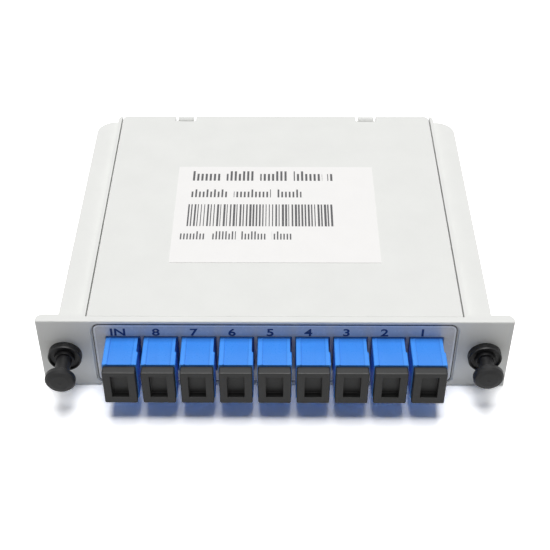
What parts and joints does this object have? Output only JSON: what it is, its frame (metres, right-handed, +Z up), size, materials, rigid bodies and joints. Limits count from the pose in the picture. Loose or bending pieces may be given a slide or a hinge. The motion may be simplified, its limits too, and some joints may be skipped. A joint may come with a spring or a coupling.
{
  "type": "plc fibre splitter cassette",
  "caption": "Flat slide-in optical splitter cassette: light grey moulded case with a wider front panel, a row of capped blue square adapters, and a push-pull latch in each ear.",
  "frame": {"origin": "middle of the underside, halfway between the panel face and the rear face", "axes": "+X to the right along the panel, seen from the front; +Y towards the rear; +Z up from the underside"},
  "size_m": [0.13, 0.113, 0.0251],
  "materials": {
    "case_plastic": "fine satin light grey moulding",
    "cover_plastic": "fine satin light grey moulding",
    "strip_film": "glossy printed film",
    "label_paper": "coated white paper",
    "adapter_blue": "semi-gloss blue moulding",
    "cap_black": "soft black moulding",
    "latch_nylon": "black nylon",
    "sleeve_ceramic": "white ceramic",
    "plug_white": "white moulding",
    "module_steel": "drawn steel tube",
    "chip_glass": "polished glass block",
    "end_resin": "dark moulded resin",
    "fibre_jacket": "white buffer tube"
  },
  "bodies": {
    "cassette": {"lower_tray": "case_plastic", "top_cover": "cover_plastic", "port_strip": "strip_film", "cover_label": "label_paper", "adapter_in": "adapter_blue", "split_sleeve_in": "sleeve_ceramic", "plug_in": "plug_white", "adapter_8": "adapter_blue", "split_sleeve_8": "sleeve_ceramic", "plug_8": "plug_white", "adapter_7": "adapter_blue", "split_sleeve_7": "sleeve_ceramic", "plug_7": "plug_white", "adapter_6": "adapter_blue", "split_sleeve_6": "sleeve_ceramic", "plug_6": "plug_white", "adapter_5": "adapter_blue", "split_sleeve_5": "sleeve_ceramic", "plug_5": "plug_white", "adapter_4": "adapter_blue", "split_sleeve_4": "sleeve_ceramic", "plug_4": "plug_white", "adapter_3": "adapter_blue", "split_sleeve_3": "sleeve_ceramic", "plug_3": "plug_white", "adapter_2": "adapter_blue", "split_sleeve_2": "sleeve_ceramic", "plug_2": "plug_white", "adapter_1": "adapter_blue", "split_sleeve_1": "sleeve_ceramic", "plug_1": "plug_white", "splitter_tube": "module_steel", "splitter_chip": "chip_glass", "module_end_in": "end_resin", "module_end_out": "end_resin", "fibre_in": "fibre_jacket", "fibre_8": "fibre_jacket", "fibre_7": "fibre_jacket", "fibre_6": "fibre_jacket", "fibre_5": "fibre_jacket", "fibre_4": "fibre_jacket", "fibre_3": "fibre_jacket", "fibre_2": "fibre_jacket", "fibre_1": "fibre_jacket", "latch_grommet_left": "latch_nylon", "latch_grommet_right": "latch_nylon"},
    "cap_in": {"dust_cap_in": "cap_black"},
    "cap_8": {"dust_cap_8": "cap_black"},
    "cap_7": {"dust_cap_7": "cap_black"},
    "cap_6": {"dust_cap_6": "cap_black"},
    "cap_5": {"dust_cap_5": "cap_black"},
    "cap_4": {"dust_cap_4": "cap_black"},
    "cap_3": {"dust_cap_3": "cap_black"},
    "cap_2": {"dust_cap_2": "cap_black"},
    "cap_1": {"dust_cap_1": "cap_black"},
    "plunger_left": {"latch_plunger_left": "latch_nylon"},
    "plunger_right": {"latch_plunger_right": "latch_nylon"}
  },
  "joints": [
    {"name": "cap_in_pull", "type": "slide", "parent": "cassette", "child": "cap_in", "axis": [0, -1, 0], "range_m": [0, 0.015]},
    {"name": "cap_8_pull", "type": "slide", "parent": "cassette", "child": "cap_8", "axis": [0, -1, 0], "range_m": [0, 0.015]},
    {"name": "cap_7_pull", "type": "slide", "parent": "cassette", "child": "cap_7", "axis": [0, -1, 0], "range_m": [0, 0.015]},
    {"name": "cap_6_pull", "type": "slide", "parent": "cassette", "child": "cap_6", "axis": [0, -1, 0], "range_m": [0, 0.015]},
    {"name": "cap_5_pull", "type": "slide", "parent": "cassette", "child": "cap_5", "axis": [0, -1, 0], "range_m": [0, 0.015]},
    {"name": "cap_4_pull", "type": "slide", "parent": "cassette", "child": "cap_4", "axis": [0, -1, 0], "range_m": [0, 0.015]},
    {"name": "cap_3_pull", "type": "slide", "parent": "cassette", "child": "cap_3", "axis": [0, -1, 0], "range_m": [0, 0.015]},
    {"name": "cap_2_pull", "type": "slide", "parent": "cassette", "child": "cap_2", "axis": [0, -1, 0], "range_m": [0, 0.015]},
    {"name": "cap_1_pull", "type": "slide", "parent": "cassette", "child": "cap_1", "axis": [0, -1, 0], "range_m": [0, 0.015]},
    {"name": "latch_left_push", "type": "slide", "parent": "cassette", "child": "plunger_left", "axis": [0, 1, 0], "range_m": [0, 0.0051]},
    {"name": "latch_right_push", "type": "slide", "parent": "cassette", "child": "plunger_right", "axis": [0, 1, 0], "range_m": [-0.0015, 0.0036]}
  ]
}
